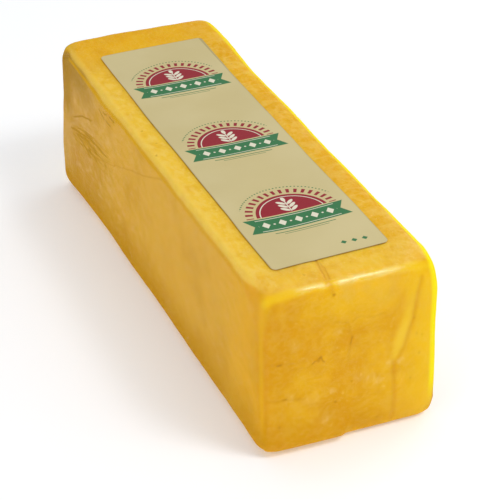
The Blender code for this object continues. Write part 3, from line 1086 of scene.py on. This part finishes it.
# %% The motif
SUN_MIDDLE = -1.5
SUN_RADIUS = 17.6
RAY_INNER = 19.0
RAY_OUTER = 22.6
RAYS_ROUND = 36
DOT_RADIUS = 25.0
DOTS_ROUND = 90
BAND_MIDDLE = -7.6
BAND_HALF_HEIGHT = 6.2
BAND_HALF_LENGTH = 25.0
BAND_NOTCH = 3.6
BAND_SAG = 0.0022
SUN_RING_RADIUS = 15.6
SPRIG_LIMIT = 14.8
LINE_WEIGHT = 0.26
FINE_LINE_WEIGHT = 0.16
DOT_SIZE = 0.42
BAND_LINE_HEIGHT = 4.95
BAND_LINE_WEIGHT = 0.22
PATTERN_REACH = 19.6
LOZENGE_PITCH = 8.0
LOZENGE_SIZE = 2.0
SEED_SIZE = 0.55
UNDER_GAP = 2.2
UNDER_REACHES = (15.0, 11.0)
END_MARKS_PLACE = (15.0, -112.0)
END_MARKS_PITCH = 5.2
END_MARKS_REACH = 7.6
STEM_HALF_WIDTH = 0.28
STEM_MIDDLE = 5.4
STEM_HALF_HEIGHT = 5.0
LEAF_HEIGHTS = (2.6, 5.6, 8.6)
LEAF_LEAN = math.radians(42)

label_finish, label_shader, mm, (x, y, z) = start_finish(
    "label_print", Roughness=0.42, Specular_IOR_Level=0.35, Coat_Weight=0.08, Coat_Roughness=0.20)
u = x - (LABEL_X + centring.x) * 1000
along = y - (LABEL_Y + centring.y) * 1000
v = (along - MOTIF_START).math("WRAP", MOTIF_PITCH / 2, -MOTIF_PITCH / 2)

from_sun = radius_from(u, v, SUN_MIDDLE)
angle = (v - SUN_MIDDLE).math("ARCTAN2", u)
above_band = band_height(u, v, BAND_MIDDLE + BAND_HALF_HEIGHT + 0.9, BAND_SAG)
upper = inked(above_band * -1.0)
sun = inked(from_sun - SUN_RADIUS) * upper
ray_place = (angle * (RAYS_ROUND / (2 * math.pi))).math("FRACT")
ray = ((ray_place - 0.5).size() - 0.22) * (RAY_INNER * 2 * math.pi / RAYS_ROUND)
ray_ring = (from_sun - (RAY_INNER + RAY_OUTER) / 2).size() - (RAY_OUTER - RAY_INNER) / 2
rays = inked(ray.most(ray_ring)) * upper
dot_place = (angle * (DOTS_ROUND / (2 * math.pi))).math("FRACT")
dot_across = (dot_place - 0.5) * (DOT_RADIUS * 2 * math.pi / DOTS_ROUND)
dot_along = from_sun - DOT_RADIUS
dots = inked((dot_across * dot_across + dot_along * dot_along).math("SQRT") - DOT_SIZE)
dots = dots * inked(above_band * -1.0 + 9.0)
ring = inked((from_sun - SUN_RING_RADIUS).size() - LINE_WEIGHT) * upper

half_u = u.size()
sprig = (half_u - STEM_HALF_WIDTH).most((v - STEM_MIDDLE).size() - STEM_HALF_HEIGHT)
for leaf_height in LEAF_HEIGHTS:
    sprig = sprig.least(leaf(half_u, v, (2.3, leaf_height), 2.5, 0.95, LEAF_LEAN))
sprig = sprig.least(leaf(half_u, v, (0.0, 11.6), 1.0, 2.1, 0.0) * 0.5)
sprig = inked(sprig) * inked(from_sun - SPRIG_LIMIT) * upper

in_band = band_height(u, v, BAND_MIDDLE, BAND_SAG)
notch = (half_u - BAND_HALF_LENGTH) + (1.0 - in_band.size() / BAND_HALF_HEIGHT) * BAND_NOTCH
band = inked((in_band.size() - BAND_HALF_HEIGHT).most(notch))
in_reach = inked(half_u - PATTERN_REACH)
band_lines = inked((in_band.size() - BAND_LINE_HEIGHT).size() - BAND_LINE_WEIGHT) * in_reach
lozenge_u = u.math("WRAP", LOZENGE_PITCH / 2, -LOZENGE_PITCH / 2)
lozenges = inked(lozenge_u.size() + in_band.size() * 0.72 - LOZENGE_SIZE) * in_reach
seed_u = u.math("WRAP", LOZENGE_PITCH, 0.0) - LOZENGE_PITCH / 2
seeds = inked(radius_from(seed_u, in_band, 0.0) - SEED_SIZE) * in_reach
under = band_height(u, v, BAND_MIDDLE - BAND_HALF_HEIGHT - UNDER_GAP, BAND_SAG)
upper_line = inked(under.size() - LINE_WEIGHT) * inked(half_u - UNDER_REACHES[0])
lower_line = inked((under + 1.5).size() - FINE_LINE_WEIGHT) * inked(half_u - UNDER_REACHES[1])
under_lines = upper_line.most(lower_line)
from_marks = u - END_MARKS_PLACE[0]
mark_u = from_marks.math("WRAP", END_MARKS_PITCH / 2, -END_MARKS_PITCH / 2)
end_marks = inked(mark_u.size() + (along - END_MARKS_PLACE[1]).size() - 1.5)
end_marks = end_marks * inked(from_marks.size() - END_MARKS_REACH)

# %% Inks and paper
beige = (0.620, 0.518, 0.248, 1.0)
beige_light = (0.652, 0.553, 0.282, 1.0)
green = (0.030, 0.180, 0.060, 1.0)
red = (0.300, 0.006, 0.018, 1.0)
cream = (0.80, 0.76, 0.60, 1.0)
painted_edge_shadow = (0.28, 0.21, 0.05, 1.0)
EDGE_SHADOW_WIDTH = 0.35
paper = grain(mm, 34.0, detail=2.0).ramp(0.3, 0.7).blend(beige, beige_light)
print_colour = sun.most(rays).blend(paper, red)
print_colour = band.most(dots).most(under_lines).most(end_marks).blend(print_colour, green)
print_colour = ring.most(sprig).most(band_lines).most(lozenges).most(seeds).blend(print_colour, cream)
# A painted shadow darkens a thin border round the edge of the sheet
to_left = 0.5 - u / (LABEL_WIDTH * 1000)
squared = along + to_left * along.ramp(0.0, -LABEL_LENGTH * 500) * (LABEL_SKEW * 1000)
side_gap = u.size() - (LABEL_WIDTH * 500 - EDGE_SHADOW_WIDTH)
end_gap = squared.size() - (LABEL_LENGTH * 500 - EDGE_SHADOW_WIDTH)
print_colour = (side_gap.most(end_gap).ramp(-0.1, 0.25) * 0.45).blend(print_colour, painted_edge_shadow)
attach(print_colour, label_shader, "Base Color")
attach(bump(grain(mm, 12.0, detail=2.0), 0.12, 0.0006), label_shader, "Normal")
print("label print uses", len(label_finish.node_tree.nodes), "nodes")

# %% [markdown]
# ## The thickness of the sheet
#
# A sheet without a thickness has no edge to catch the light. A Solidify modifier could stay on
# it, but the bmesh operator gives the same wall and leaves a closed mesh, with the outer faces
# turned outwards afterwards.

# %% Give the label its thickness
bmesh.ops.solidify(label_shape, geom=label_shape.faces[:], thickness=LABEL_THICKNESS)
bmesh.ops.recalc_face_normals(label_shape, faces=label_shape.faces)
label = finish_piece(label_shape, "label_sheet", label_finish)
label.data.set_sharp_from_angle(angle=math.radians(40))
zs = [vert.co.z for vert in label.data.vertices]
print("label spans heights in mm", round(min(zs) * 1000, 2), round(max(zs) * 1000, 2))
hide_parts("label")
